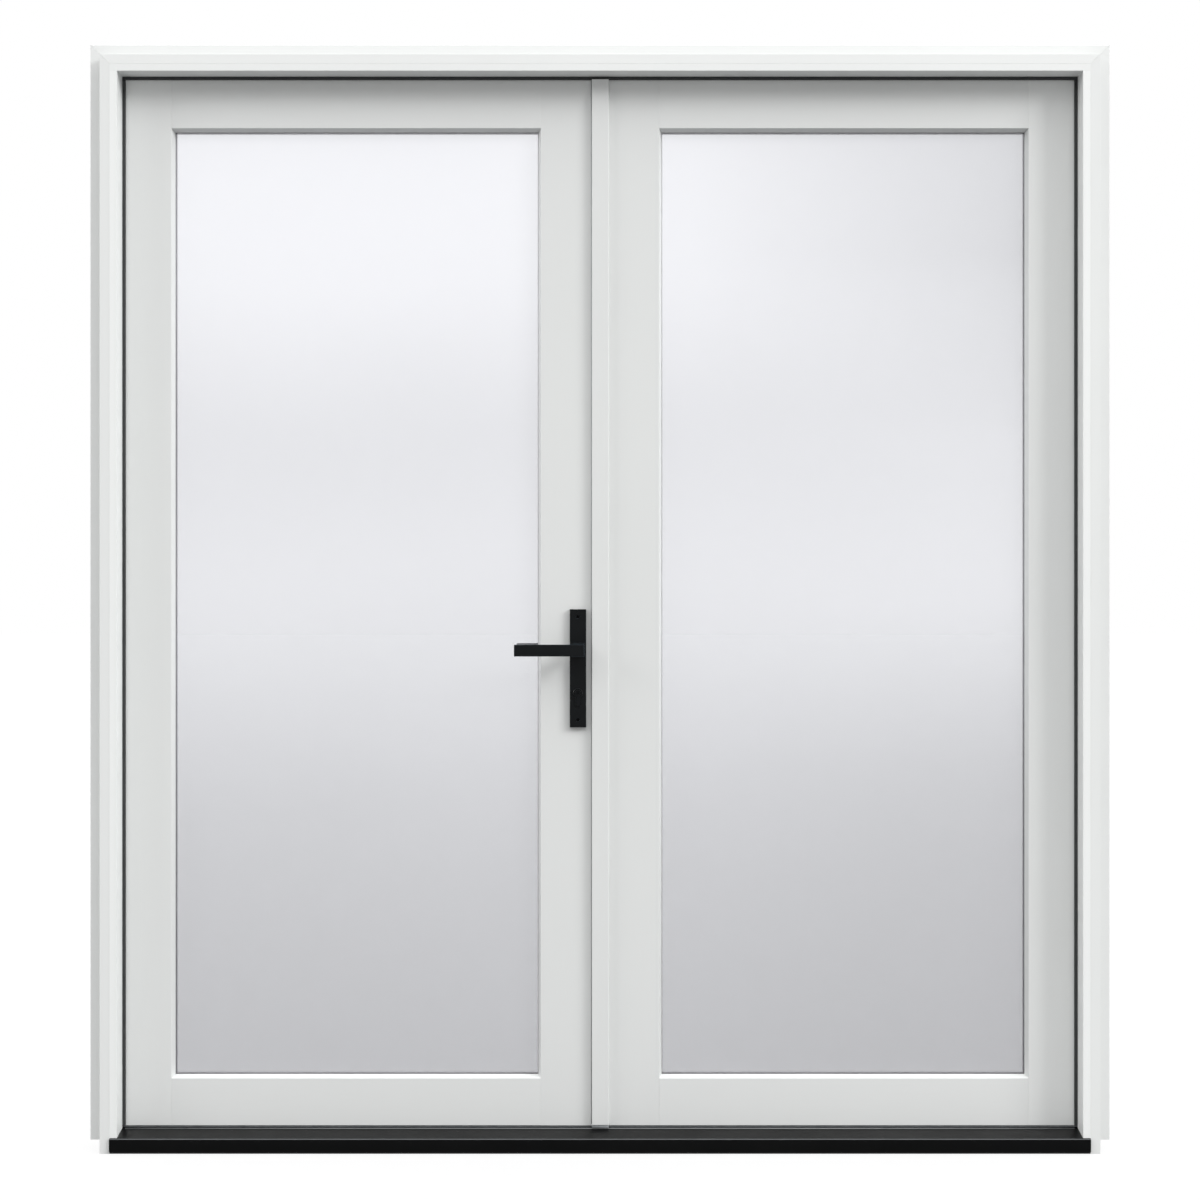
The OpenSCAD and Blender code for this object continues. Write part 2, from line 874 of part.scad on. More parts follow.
module astragal() {
    color(white) difference() {
        union() {
            block([post_x0, 0, foot_z], [meet_x, leaf_t, top_z]);
            translate([0, 0, foot_z + pad_h]) linear_extrude(flange_top - foot_z - pad_h) polygon([
                [flange_x0, -seal_t], [flange_x0, -flange_t + flange_chamfer],
                [flange_x0 + flange_chamfer, -flange_t], [flange_x1 - flange_chamfer, -flange_t],
                [flange_x1, -flange_t + flange_chamfer], [flange_x1, 0], [post_x0, 0], [post_x0, -seal_t]
            ]);
        }
        strike_block(post_x0 - cut);
        latch_ways(meet_x + cut);
        flush_room();
        other_end() flush_room();
    }
}

module strike_plate() {
    color(steel) difference() {
        strike_block(post_x0);
        latch_ways(meet_x);
    }
}

module astragal_seal() {
    x0 = flange_x0 + seal_inset;
    color(rubber) block([x0, -seal_t, foot_z + pad_h], [x0 + seal_w, -rub, flange_top]);
}

module astragal_pad() {
    color(rubber)
        block([flange_x0, -flange_t + flange_chamfer, foot_z], [flange_x1, -rub, foot_z + pad_h]);
}

// A rod near the post's top end, with a thumb piece that shows in the post's edge
module flush_rod() {
    translate([flush_x, mid_y, flush_low]) cylinder(h = flush_len, r = flush_r);
    block(
        [post_x0 + rub, mid_y - thumb_w / 2, flush_low],
        [flush_x, mid_y + thumb_w / 2, flush_low + thumb_h]
    );
}

module flush_room() {
    translate([flush_x, mid_y, flush_low - cut])
        cylinder(h = flush_back + flush_len + 2 * cut, r = flush_r + turn);
    block(
        [post_x0 - cut, mid_y - thumb_w / 2 - rub, flush_low - cut],
        [flush_x, mid_y + thumb_w / 2 + rub, flush_low + thumb_h + flush_throw + rub]
    );
}

// The same shape at the other end of the leaf
module other_end() { translate([0, 0, foot_z + top_z]) mirror([0, 0, 1]) children(); }

module top_flush_bolt() { color(steel) flush_rod(); }

module bottom_flush_bolt() { color(steel) other_end() flush_rod(); }

// Room for a bolt's keep at height z, sunk in the direction up
module keep_room(z, up) {
    keep_block(z, up);
    translate([flush_x, mid_y, z + up * keep_depth / 2])
        cylinder(h = keep_depth, r = keep_r, center = true);
}

module keep_block(z, up) {
    translate([flush_x, mid_y, z + up * keep_t / 2])
        cube([keep_size[0], keep_size[1], keep_t], center = true);
}

module keep_plate(z, up) {
    difference() {
        keep_block(z, up);
        translate([flush_x, mid_y, z - keep_depth]) cylinder(h = 2 * keep_depth, r = keep_r);
    }
}

module bolt_keeps() {
    color(steel) {
        keep_plate(edge_z, 1);
        keep_plate(sill_h, -1);
    }
}

jamb_left();
jamb_right();
head_jamb();
cladding_left();
cladding_right();
cladding_head();
sill_core();
sill_pan();
weatherstrip_left();
weatherstrip_right();
weatherstrip_head();
frame_hinge_plates();
hinge_pins();
bolt_keeps();
active_hinge_stile();
active_lock_stile();
active_top_rail();
active_bottom_rail();
active_outer_pane();
active_inner_pane();
active_spacer();
active_hinge_bead();
active_lock_bead();
active_top_bead();
active_bottom_bead();
active_sweep();
active_hinge_plates();
passive_hinge_stile();
passive_lock_stile();
passive_top_rail();
passive_bottom_rail();
passive_outer_pane();
passive_inner_pane();
passive_spacer();
passive_hinge_bead();
passive_lock_bead();
passive_top_bead();
passive_bottom_bead();
passive_sweep();
passive_hinge_plates();
astragal();
astragal_seal();
astragal_pad();
strike_plate();
top_flush_bolt();
bottom_flush_bolt();
lock_case();
outer_plate();
inner_plate();
plate_screws();
lock_cylinder();
outer_lever();
inner_lever();
lever_spindle();
lock_hub();
latch_bolt();
dead_bolt();
cylinder_plug();
thumb_turn();
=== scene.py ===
"""Looks for a pair of glazed in-swinging doors in their frame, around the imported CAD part."""

import math

import bmesh
import bpy
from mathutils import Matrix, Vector


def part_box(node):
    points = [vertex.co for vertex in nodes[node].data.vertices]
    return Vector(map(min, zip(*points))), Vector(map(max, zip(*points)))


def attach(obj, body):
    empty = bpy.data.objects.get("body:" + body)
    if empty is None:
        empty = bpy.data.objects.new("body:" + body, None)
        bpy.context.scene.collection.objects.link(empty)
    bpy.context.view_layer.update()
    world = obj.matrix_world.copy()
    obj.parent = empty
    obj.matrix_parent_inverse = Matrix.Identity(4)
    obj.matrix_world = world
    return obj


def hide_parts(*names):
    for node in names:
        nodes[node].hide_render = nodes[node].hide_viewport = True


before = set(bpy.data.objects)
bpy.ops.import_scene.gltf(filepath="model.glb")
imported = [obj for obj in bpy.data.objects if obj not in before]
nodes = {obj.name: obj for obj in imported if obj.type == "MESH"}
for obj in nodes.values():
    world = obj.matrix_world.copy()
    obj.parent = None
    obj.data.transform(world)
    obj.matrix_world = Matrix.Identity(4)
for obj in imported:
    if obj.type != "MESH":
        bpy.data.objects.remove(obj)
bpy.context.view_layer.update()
scene = bpy.context.scene

MM = 0.001

# ---- Camera ----

CAMERA_AT = (0, -4.05, 1.007)
LENS = 66
SENSOR = 36

camera = bpy.data.objects.new("camera", bpy.data.cameras.new("camera"))
camera.data.lens = LENS
camera.data.sensor_width = SENSOR
camera.data.clip_end = 200
camera.location = CAMERA_AT
camera.rotation_euler = (math.pi / 2, 0, 0)
scene.collection.objects.link(camera)
scene.camera = camera
scene.view_settings.view_transform = "Standard"


# ---- Node helpers ----

class Tree:
    """A node tree with short calls for the nodes used here."""

    def __init__(self, tree):
        self.tree = tree
        tree.nodes.clear()

    def node(self, kind, **settings):
        made = self.tree.nodes.new(kind)
        for key, value in settings.items():
            setattr(made, key, value)
        return made

    def feed(self, socket, value):
        """Links an output socket to an input, or sets a plain value on it."""
        if isinstance(value, bpy.types.NodeSocket):
            self.tree.links.new(value, socket)
        else:
            socket.default_value = value

    def place(self):
        """Where a point is on the part, in metres."""
        return self.node("ShaderNodeTexCoord").outputs["Object"]

    def facing(self):
        """Which way the surface faces, along the part's own axes."""
        return self.split(self.node("ShaderNodeTexCoord").outputs["Normal"])

    def split(self, vector):
        """The three parts of a vector."""
        made = self.node("ShaderNodeSeparateXYZ")
        self.feed(made.inputs[0], vector)
        return made.outputs

    def noise(self, where, scale, detail=2.0, rough=0.5, stretch=None):
        if stretch:
            mapping = self.node("ShaderNodeMapping")
            self.feed(mapping.inputs["Vector"], where)
            mapping.inputs["Scale"].default_value = stretch
            where = mapping.outputs["Vector"]
        made = self.node("ShaderNodeTexNoise")
        self.feed(made.inputs["Vector"], where)
        made.inputs["Scale"].default_value = scale
        made.inputs["Detail"].default_value = detail
        made.inputs["Roughness"].default_value = rough
        return made.outputs["Fac"]

    def spread(self, value, low, high, first=0.3, last=0.7, soft=False):
        """Maps a value from first..last to low..high."""
        made = self.node("ShaderNodeMapRange", interpolation_type="SMOOTHSTEP" if soft else "LINEAR")
        for name, given in (("Value", value), ("From Min", first), ("From Max", last),
                            ("To Min", low), ("To Max", high)):
            self.feed(made.inputs[name], given)
        return made.outputs["Result"]

    def maths(self, operation, first, second=0.0):
        made = self.node("ShaderNodeMath", operation=operation)
        self.feed(made.inputs[0], first)
        self.feed(made.inputs[1], second)
        return made.outputs[0]

    def blend(self, factor, first, second):
        """Mixes two colours."""
        made = self.node("ShaderNodeMix", data_type="RGBA", blend_type="MIX")
        self.feed(made.inputs[0], factor)
        self.feed(made.inputs[6], first)
        self.feed(made.inputs[7], second)
        return made.outputs[2]

    def mottle(self, pattern, level, low, high, tint):
        """A grey that a pattern varies between two shares of its level."""
        return self.blend(self.spread(pattern, 0, 1), grey(level * low, tint), grey(level * high, tint))

    def bump(self, height, strength, distance, after=None):
        made = self.node("ShaderNodeBump")
        self.feed(made.inputs["Height"], height)
        made.inputs["Strength"].default_value = strength
        made.inputs["Distance"].default_value = distance
        if after:
            self.feed(made.inputs["Normal"], after)
        return made.outputs["Normal"]

    def principled(self, **inputs):
        made = self.node("ShaderNodeBsdfPrincipled")
        for name, value in inputs.items():
            self.feed(made.inputs[name.replace("_", " ")], value)
        return made.outputs[0]

    def switch(self, path, rays, otherwise, seen):
        """Uses one shader for the named kinds of light path, and another for all the rest."""
        made = self.node("ShaderNodeMixShader")
        self.feed(made.inputs[0], self.maths("MAXIMUM", path.outputs[rays[0]], path.outputs[rays[1]]))
        self.feed(made.inputs[1], otherwise)
        self.feed(made.inputs[2], seen)
        return made.outputs[0]

    def finish(self, surface):
        output = self.node("ShaderNodeOutputMaterial")
        self.feed(output.inputs["Surface"], surface)


def material(name):
    made = bpy.data.materials.new(name)
    made.use_nodes = True
    return made, Tree(made.node_tree)


def grey(level, tint=(1, 1, 1)):
    return tuple(level * share for share in tint) + (1,)


# ---- Materials ----

PAINT_TINT = (0.985, 1.0, 0.99)
WALL_SIDE_SHADE_TONE = 0.6                    # tone of the painted shade on the faces that go against the wall
TOP_SHADE_TONE = 0.4                # and of the painted shade on the head's upper faces
OUTER_SIDE = (0.900, 0.905)     # how far from the middle the side faces get painted shade
FRAME_TOP = (1.995, 1.999)      # how high the upper faces get painted shade
SQUARE_ON = (0.8, 0.95)         # how squarely a face looks along an axis
SLOPE_OF_EDGE = 0.68            # upward share of the normal on the sill's front edge
DUSTY_LOW = (0.92, 1, 1.04)
DUSTY_HIGH = (0.95, 1, 1.03)
SEEN_RAYS = ("Is Camera Ray", "Is Transmission Ray")
LAMP_RAYS = ("Is Shadow Ray", "Is Diffuse Ray")


def paint(name, level, rough=0.36, grain=None, shaded_wall_sides=False):
    """Sprayed satin paint: fine orange peel, a slow change of tone, and faint wood grain along one axis.

    A part so marked gets painted shade, a duller and darker tone, on the faces that go against the wall and
    on the head's upper faces, which the lamps light brightly.
    """
    made, t = material(name)
    where = t.place()
    colour = t.mottle(t.noise(where, 1.7, 3), level, 0.985, 1.01, PAINT_TINT)
    fine = t.noise(where, 420, 3)
    wide = t.noise(where, 45, 2)
    shine = t.spread(wide, rough - 0.05, rough + 0.06)
    normal = t.bump(fine, 0.12, 0.15 * MM)
    if grain:
        streaks = t.noise(where, 260, 4, 0.6, stretch=grain)
        normal = t.bump(streaks, 0.16, 0.2 * MM, after=normal)
        colour = t.blend(t.spread(streaks, 0, 0.03), colour, grey(level * 0.8, PAINT_TINT))
    if shaded_wall_sides:
        # Painted shade on the wall sides and the tops, a little patchy
        turned, spot = t.facing(), t.split(where)
        sideways = t.spread(t.maths("ABSOLUTE", turned[0]), 0, 1, *SQUARE_ON)
        outside = t.spread(t.maths("ABSOLUTE", spot[0]), 0, 1, *OUTER_SIDE)
        upward = t.spread(turned[2], 0, 1, *SQUARE_ON)
        on_top = t.maths("MULTIPLY", upward, t.spread(spot[2], 0, 1, *FRAME_TOP))
        patchy = t.noise(where, 16, 4, 0.65, stretch=(1, 1, 0.3))
        wall_side_shade = t.mottle(patchy, WALL_SIDE_SHADE_TONE, 0.94, 1.04, PAINT_TINT)
        wall_side_shade = t.blend(on_top, wall_side_shade, grey(TOP_SHADE_TONE, PAINT_TINT))
        wall_side = t.maths("MAXIMUM", t.maths("MULTIPLY", sideways, outside), on_top)
        colour = t.blend(wall_side, colour, wall_side_shade)
        shine = t.maths("ADD", shine, t.maths("MULTIPLY", wall_side, 0.2))
    t.finish(t.principled(Base_Color=colour, Roughness=shine, Normal=normal, IOR=1.48))
    return made


def sheet_metal(name, level, tint, rough, metallic=0.0, brushed=(0.02, 1, 1), gloss=0.5, edge_highlight=None):
    """Coated or bare metal with fine drawn lines and slight smudges.

    Given an edge tone, it gets a painted highlight: a paler tone along its sloped edges, broken up by noise.
    """
    made, t = material(name)
    where = t.place()
    drawn = t.noise(where, 900, 3, 0.6, stretch=brushed)
    smudge = t.noise(where, 9, 4, 0.6)
    colour = t.mottle(smudge, level, 0.92, 1.08, tint)
    if edge_highlight:
        # Painted highlight along the sloped edges
        slope = t.maths("ABSOLUTE", t.maths("SUBTRACT", t.facing()[2], SLOPE_OF_EDGE))
        edge = t.spread(slope, 1, 0, 0.2, 0.28)
        highlight_breakup = t.spread(t.noise(where, 35, 3, 0.6), 0.75, 1)
        colour = t.blend(t.maths("MULTIPLY", edge, highlight_breakup), colour, grey(edge_highlight, tint))
    shine = t.maths("ADD", t.spread(smudge, rough - 0.06, rough + 0.05), t.spread(drawn, -0.03, 0.03))
    normal = t.bump(drawn, 0.10, 0.05 * MM)
    t.finish(t.principled(Base_Color=colour, Roughness=shine, Normal=normal, Metallic=metallic,
                          Specular_IOR_Level=gloss))
    return made


def powder_coat(name, level, tint=(0.97, 1.0, 1.04), rough=0.42, gloss=0.25, edge_highlight=None):
    """Fine-textured powder coat, with a painted highlight that makes it paler along its edges when an edge
    tone is given.
    """
    made, t = material(name)
    where = t.place()
    pebbles = t.noise(where, 1500, 2, 0.5)
    handled = t.noise(where, 28, 3, 0.6)
    colour = t.mottle(handled, level, 0.9, 1.15, tint)
    if edge_highlight:
        # Painted highlight along the edges, where no axis is square-on
        turned = t.facing()
        sides = [t.maths("ABSOLUTE", turned[k]) for k in range(3)]
        squarest = t.maths("MAXIMUM", t.maths("MAXIMUM", sides[0], sides[1]), sides[2])
        edge = t.spread(squarest, 1, 0, 0.82, 0.94)
        highlight_breakup = t.spread(t.noise(where, 90, 3, 0.6), 0.6, 1)
        colour = t.blend(t.maths("MULTIPLY", edge, highlight_breakup), colour, grey(edge_highlight, tint))
    shine = t.spread(handled, rough - 0.07, rough + 0.06)
    t.finish(t.principled(Base_Color=colour, Roughness=shine, Normal=t.bump(pebbles, 0.25, 0.08 * MM),
                          Specular_IOR_Level=gloss))
    return made


def rubber(name, level):
    """Matt extruded rubber with lines along its run and a dusty bloom."""
    made, t = material(name)
    where = t.place()
    dust = t.noise(where, 60, 4, 0.65)
    lines = t.noise(where, 700, 2)
    colour = t.blend(t.spread(dust, 0, 1), grey(level * 0.8, DUSTY_LOW), grey(level * 1.3, DUSTY_HIGH))
    shine = t.spread(dust, 0.55, 0.75)
    t.finish(t.principled(Base_Color=colour, Roughness=shine, Normal=t.bump(lines, 0.2, 0.1 * MM)))
    return made


# Painted reflection on the outer panes: its tone by height, as a share of two metres
PAINTED_REFLECTION_TONES = (
    (0.05, 0.565), (0.25, 0.64), (0.38, 0.745), (0.52, 0.90), (0.66, 0.80), (0.80, 0.98), (1.0, 0.95),
)
PAINTED_REFLECTION_SPAN = 2
# Tint of the painted reflection
SKY_REFLECTION_TINT = (1.005, 1.0, 1.035)
EDGE_TINT = (0.985, 1.0, 0.995)


def clear_glass(name, painted_sky):
    """Float glass that lets lamps through. The outer panes carry a painted reflection of a soft sky that
    changes with height, with painted shade towards the right.
    """
    made, t = material(name)
    where = t.place()
    if painted_sky:
        # Painted reflection: a soft sky tone by height, with a slow drift
        across, _, up = t.split(where)
        ramp = t.node("ShaderNodeValToRGB")
        ramp.color_ramp.interpolation = "B_SPLINE"
        stops = ramp.color_ramp.elements
        while len(stops) < len(PAINTED_REFLECTION_TONES):
            stops.new(0.5)
        for stop, (place, level) in zip(stops, PAINTED_REFLECTION_TONES):
            stop.position = place
            stop.color = grey(level, SKY_REFLECTION_TINT)
        drift = t.spread(t.noise(where, 1.3, 2), -0.015, 0.015)
        t.feed(ramp.inputs[0], t.maths("ADD", t.spread(up, 0, 1, 0, PAINTED_REFLECTION_SPAN), drift))
        # Painted shade: the right pane darkens towards its right edge, most in its upper part and a little
        # low down
        upper = t.spread(up, 0, 0.22, 1.3, 1.65)
        lower = t.spread(up, 0, 0.08, 1.0, 0.7)
        shade = t.maths("MULTIPLY", t.spread(across, 0, 1, 0.1, 0.85), t.maths("ADD", upper, lower))
        colour = t.blend(shade, ramp.outputs[0], (0, 0, 0, 1))
    else:
        colour = grey(0.985, EDGE_TINT)
    wave = t.bump(t.noise(where, 3.5, 1), 0.02, 1 * MM)
    smear = t.spread(t.noise(where, 11, 3, 0.6), 0.0, 0.02)
    body = t.principled(Base_Color=colour, Roughness=smear, Normal=wave, IOR=1.45,
                        Transmission_Weight=0.88 if painted_sky else 1.0)
    through = t.node("ShaderNodeBsdfTransparent")
    t.feed(through.inputs[0], colour)
    t.finish(t.switch(t.node("ShaderNodeLightPath"), LAMP_RAYS, body, through.outputs[0]))
    return made


# Grain that runs up, or across
UPRIGHT = (1, 1, 0.03)
LEVEL = (0.03, 1, 1)
HANDLE_TINT = (0.7, 1, 1.25)

mats = {
    # Painted light: the frame's uprights are paler than its head to lift their shaded inner faces, the
    # cladding's head is paler than its sides, and the leaves' hinge stiles are paler than their lock stiles
    # against the jambs' shade
    "frame_upright": paint("frame_paint_upright", 0.86, grain=UPRIGHT, shaded_wall_sides=True),
    "frame_level": paint("frame_paint_level", 0.83, grain=LEVEL, shaded_wall_sides=True),
    "cladding_side": paint("cladding_paint_side", 0.79, rough=0.33, shaded_wall_sides=True),
    "cladding_head": paint("cladding_paint_head", 0.83, rough=0.33, shaded_wall_sides=True),
    "leaf_upright": paint("leaf_paint_upright", 0.74, grain=UPRIGHT),
    "leaf_hinge_side_lit": paint("leaf_paint_hinge_side_lit", 0.775, grain=UPRIGHT),
    "leaf_level": paint("leaf_paint_level", 0.75, grain=LEVEL),
    "astragal": paint("astragal_paint", 0.74, grain=UPRIGHT),
    # The sill's sloped front edge gets a painted highlight
    "sill": sheet_metal("sill_coat", 0.0025, (0.95, 1, 1.05), 0.38, gloss=0.14, edge_highlight=0.09),
    # The rib is much paler than the sill: a painted highlight along it
    "sill_rib": sheet_metal("sill_rib_highlight", 0.12, (0.95, 1, 1.03), 0.3, gloss=0.4),
    "sill_core": powder_coat("sill_board", 0.045, rough=0.6),
    "rubber": rubber("seal_rubber", 0.03),
    "grey_rubber": rubber("pad_rubber", 0.25),
    "drip_rubber": rubber("drip_rubber", 0.22),
    "spacer": sheet_metal("spacer_metal", 0.38, (1, 1, 1.02), 0.4, metallic=1.0),
    "outer_glass": clear_glass("outer_glass", True),
    "inner_glass": clear_glass("inner_glass", False),
    # The lever and plates get a painted highlight along their edges
    "handle": powder_coat("handle_black", 0.003, HANDLE_TINT, rough=0.32, gloss=0.26, edge_highlight=0.16),
    "turned": powder_coat("handle_black_turned", 0.003, HANDLE_TINT, rough=0.32, gloss=0.26),
    "screw": powder_coat("screw_black", 0.0012, rough=0.55, gloss=0.1),
    "hinge": powder_coat("hinge_black", 0.010, rough=0.36),
    "steel": sheet_metal("lock_steel", 0.55, (1, 0.99, 0.97), 0.3, metallic=1.0, brushed=UPRIGHT),
}


# ---- Which node gets which material, and how round its edges are ----

def side_pair(stem):
    return [f"active_{stem}", f"passive_{stem}"]


# Nodes, finish, and width of the rounded edge in millimetres
FINISHES = [
    (["jamb_left", "jamb_right"], "frame_upright", 0.3),
    (["head_jamb"], "frame_level", 0.6),
    (["cladding_left", "cladding_right"], "cladding_side", 0.3),
    (["cladding_head"], "cladding_head", 0.5),
    (["sill_core"], "sill_core", 0.5),
    (["sill_pan"], "sill", 0.35),
    (["weatherstrip_left", "weatherstrip_right", "weatherstrip_head"], "rubber", 0),
    (["frame_hinge_plates", "hinge_pins"] + side_pair("hinge_plates"), "hinge", 0.3),
    (["bolt_keeps", "strike_plate", "top_flush_bolt", "bottom_flush_bolt", "latch_bolt", "dead_bolt",
      "lock_case", "lever_spindle", "lock_hub"], "steel", 0.25),
    (["plate_screws"], "screw", 0.2),
    (["cylinder_plug"], "turned", 0.2),
    (side_pair("hinge_stile"), "leaf_hinge_side_lit", 0.45),
    (side_pair("lock_stile"), "leaf_upright", 0.45),
    (side_pair("top_rail") + side_pair("bottom_rail"), "leaf_level", 0.45),
    (side_pair("hinge_bead") + side_pair("lock_bead"), "leaf_upright", 0.6),
    (side_pair("top_bead") + side_pair("bottom_bead"), "leaf_level", 0.6),
    (side_pair("outer_pane"), "outer_glass", 0),
    (side_pair("inner_pane"), "inner_glass", 0),
    (side_pair("spacer"), "spacer", 0),
    (side_pair("sweep") + ["astragal_seal"], "rubber", 0.2),
    (["astragal_pad"], "grey_rubber", 0.2),
    (["astragal"], "astragal", 0.7),
    (["outer_plate", "inner_plate"], "handle", 0.6),
    (["lock_cylinder", "thumb_turn"], "turned", 0.5),
    (["outer_lever", "inner_lever"], "handle", 0.9),
]


WELD_MM = 0.002
FLAT_ANGLE = math.radians(0.5)
EDGE_ANGLE = math.radians(35)


def dress(name, finish, edge_mm):
    """Gives a CAD node its material and rounds its edges with modifiers."""
    obj = nodes[name]
    mesh = obj.data
    mesh.materials.clear()
    mesh.materials.append(mats[finish])
    if "custom_normal" in mesh.attributes:
        mesh.attributes.remove(mesh.attributes["custom_normal"])
    if edge_mm <= 0:
        return
    weld = obj.modifiers.new("weld", "WELD")
    weld.merge_threshold = WELD_MM * MM
    flat = obj.modifiers.new("flat", "DECIMATE")
    flat.decimate_type = "DISSOLVE"
    flat.angle_limit = FLAT_ANGLE
    soft = obj.modifiers.new("soft", "BEVEL")
    soft.width = edge_mm * MM
    soft.segments = 2
    soft.limit_method = "ANGLE"
    soft.angle_limit = EDGE_ANGLE
    soft.use_clamp_overlap = True
    soft.miter_outer = "MITER_ARC"
    for polygon in mesh.polygons:
        polygon.use_smooth = True
    even = obj.modifiers.new("even", "WEIGHTED_NORMAL")
    even.weight = 100
    even.keep_sharp = False


for names, finish, edge_mm in FINISHES:
    for name in names:
        dress(name, finish, edge_mm)


# ---- Pieces that the CAD leaves out ----

SMOOTH_FROM = 8      # outlines with more corners than this are rounded ones


def made_mesh(name, bm):
    """Turns a bmesh's faces outwards and keeps it as a mesh."""
    bmesh.ops.recalc_face_normals(bm, faces=bm.faces)
    mesh = bpy.data.meshes.new(name)
    bm.to_mesh(mesh)
    bm.free()
    return mesh


def piece(name, mesh, body, finish):
    """Puts a new piece on its body, with its finish."""
    made = bpy.data.objects.new(name, mesh)
    scene.collection.objects.link(made)
    mesh.materials.append(mats[finish])
    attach(made, body)
    return made


def drawn_out(name, outline, low, high, axis):
    """Mesh of a closed outline drawn out along an axis. The outline gives the other two axes in turn."""
    bm = bmesh.new()
    rings = []
    for along in (low, high):
        ring = []
        for first, second in outline:
            spot = [first, second]
            spot.insert(axis, along)
            ring.append(bm.verts.new(spot))
        rings.append(ring)
    count = len(outline)
    for k in range(count):
        after = (k + 1) % count
        bm.faces.new((rings[0][k], rings[0][after], rings[1][after], rings[1][k]))
    for ring in rings:
        bm.faces.new(ring)
    for face in bm.faces:
        face.smooth = len(face.verts) == 4 and count > SMOOTH_FROM
    return made_mesh(name, bm)


def rounded(x0, x1, y0, y1, radius, steps=4):
    """Outline of a rectangle with round corners."""
    corners = ((x1 - radius, y1 - radius, 0), (x0 + radius, y1 - radius, 1),
               (x0 + radius, y0 + radius, 2), (x1 - radius, y0 + radius, 3))
    points = []
    for cx, cy, quarter in corners:
        for k in range(steps + 1):
            turn = math.pi / 2 * (quarter + k / steps)
            points.append((cx + radius * math.cos(turn), cy + radius * math.sin(turn)))
    return points


# Rings of a countersunk head with a six-lobed recess: radius and height in millimetres, and how lobed
HEAD_RINGS = ((3.4, 0.0, 0), (3.25, 0.18, 0), (2.4, 0.26, 0), (1.5, 0.26, 1), (1.35, -0.9, 1))
HEAD_CORNERS = 36
LOBES = 6
LOBE_DEPTH = 0.13


def screw_heads(name, spots, outward):
    """Screw heads that face along outward, as one mesh."""
    bm = bmesh.new()
    turned = Vector((0, 0, 1)).rotation_difference(Vector(outward)).to_matrix()
    for spot in spots:
        made = []
        for radius, height, lobed in HEAD_RINGS:
            ring = []
            for k in range(HEAD_CORNERS):
                turn = 2 * math.pi * k / HEAD_CORNERS
                wide = radius * (1 + LOBE_DEPTH * lobed * math.cos(LOBES * turn))
                local = Vector((wide * math.cos(turn), wide * math.sin(turn), height)) * MM
                ring.append(bm.verts.new(Vector(spot) + turned @ local))
            made.append(ring)
        for inner, outer in zip(made[1:], made[:-1]):
            for k in range(HEAD_CORNERS):
                after = (k + 1) % HEAD_CORNERS
                bm.faces.new((outer[k], outer[after], inner[after], inner[k]))
        bm.faces.new(made[-1])
        bm.faces.new(list(reversed(made[0])))
    return made_mesh(name, bm)


# Three screws on each hinge plate: two near its ends, and the middle one further in
HINGE_H = 102 * MM
LEAF_GAP = 3 * MM
SCREW_PITCH = 34 * MM
END_SCREW_INSET = 9 * MM
MIDDLE_SCREW_INSET = 21 * MM
stile_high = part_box("passive_hinge_stile")[1]
plates_low, plates_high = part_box("passive_hinge_plates")
hinge_mids = [plates_low.z + HINGE_H / 2, plates_high.z - HINGE_H / 2]
hinge_mids.insert(1, sum(hinge_mids) / 2)


def hinge_screw_spots(x):
    return [(x, stile_high.y - (END_SCREW_INSET if step else MIDDLE_SCREW_INSET), mid + step * SCREW_PITCH)
            for mid in hinge_mids for step in (-1, 0, 1)]


leaf_edge = stile_high.x
frame_edge = leaf_edge + LEAF_GAP
for body, name, x, out in (
    ("frame", "frame_right_hinge_screws", frame_edge, -1),
    ("frame", "frame_left_hinge_screws", -frame_edge, 1),
    ("passive_leaf", "passive_hinge_screws", leaf_edge, 1),
    ("active_leaf", "active_hinge_screws", -leaf_edge, -1),
):
    piece(name, screw_heads(name, hinge_screw_spots(x), (out, 0, 0)), body, "hinge")

# A low rib along the sill, in front of the leaves; its pale tone is a painted highlight
RIB_R = 1.6 * MM
RIB_WIDER = 1.4      # half width as a share of its height
RIB_Y = -6 * MM
RIB_SUNK = 1.2 * MM
RIB_STEPS = 10
pan_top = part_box("sill_pan")[1].z
rib_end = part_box("weatherstrip_right")[0].x
rib_outline = []
for k in range(RIB_STEPS + 1):
    turn = math.pi * k / RIB_STEPS
    aside, above = RIB_WIDER * RIB_R * math.cos(turn), RIB_R * math.sin(turn)
    rib_outline.append((RIB_Y + aside, pan_top - RIB_SUNK + above))
rib_mesh = drawn_out("sill_rib", rib_outline, -rib_end, rib_end, 0)
piece("sill_rib", rib_mesh, "frame", "sill_rib")

# Drip seals that hang below the leaves, in front of the sweeps. Their section is in millimetres from the
# leaf's face and the sill's top.
DRIP_SECTION = ((1.2, 3.6), (1.2, 1.2), (1.5, 0.6), (2.3, 0.6), (2.8, 1.6), (4.4, 2.4), (4.8, 3.6))
for side in ("active", "passive"):
    sweep_low, sweep_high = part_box(f"{side}_sweep")
    leaf_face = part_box(f"{side}_bottom_rail")[0].y
    hung = [(leaf_face + y * MM, pan_top + z * MM) for y, z in DRIP_SECTION]
    name = f"{side}_drip_seal"
    drip_mesh = drawn_out(name, hung, sweep_low.x, sweep_high.x, 0)
    piece(name, drip_mesh, f"{side}_leaf", "drip_rubber")

